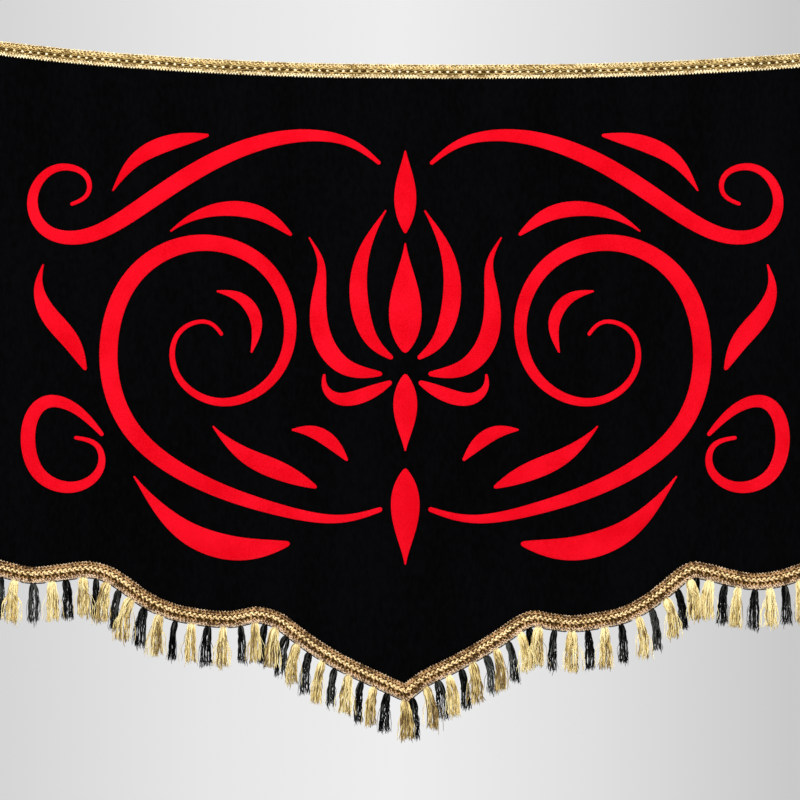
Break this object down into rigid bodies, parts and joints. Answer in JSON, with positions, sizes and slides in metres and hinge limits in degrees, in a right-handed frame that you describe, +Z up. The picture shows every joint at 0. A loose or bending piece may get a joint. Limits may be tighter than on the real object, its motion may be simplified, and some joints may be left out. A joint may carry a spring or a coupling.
{
  "type": "applique banner",
  "caption": "Hung black velvet banner with laid-on red scrollwork, gold braid along its upper and waved lower edges, and a tasselled fringe.",
  "frame": {"origin": "middle of the banner's upper edge, in the cloth's unfolded plane", "axes": "+X to the right seen from the front, -Y to the front, +Z up"},
  "size_m": [0.9045, 0.0102, 0.7308],
  "materials": {
    "velvet": "matt black cotton velvet with a short pile",
    "red_cloth": "smooth bright red cloth, cut and laid on",
    "braid_gold": "bright woven metallic gold braid",
    "braid_brown_gold": "plaited metallic gold and brown braid",
    "yarn_gold": "loosely spun lustrous gold yarn",
    "yarn_black": "loosely spun black yarn"
  },
  "bodies": {
    "root": {"panel": "velvet", "top_braid": "braid_gold", "lower_braid": "braid_brown_gold", "fringe_gold": "yarn_gold", "fringe_black": "yarn_black", "heart": "red_cloth", "foot_leaf": "red_cloth", "drop": "red_cloth", "top_bud": "red_cloth", "petal_in_l": "red_cloth", "petal_in_r": "red_cloth", "petal_out_l": "red_cloth", "petal_out_r": "red_cloth", "petal_low_l": "red_cloth", "petal_low_r": "red_cloth", "vine_l": "red_cloth", "vine_r": "red_cloth", "scroll_bud_l": "red_cloth", "scroll_bud_r": "red_cloth", "tail_l": "red_cloth", "tail_r": "red_cloth", "crown_l": "red_cloth", "crown_r": "red_cloth", "leaf_low_l": "red_cloth", "leaf_low_r": "red_cloth", "leaf_side_l": "red_cloth", "leaf_side_r": "red_cloth", "leaf_top_l": "red_cloth", "leaf_top_r": "red_cloth", "leaf_arm_l": "red_cloth", "leaf_arm_r": "red_cloth", "leaf_in_l": "red_cloth", "leaf_in_r": "red_cloth", "vine_bud_l": "red_cloth", "vine_bud_r": "red_cloth"}
  },
  "joints": []
}
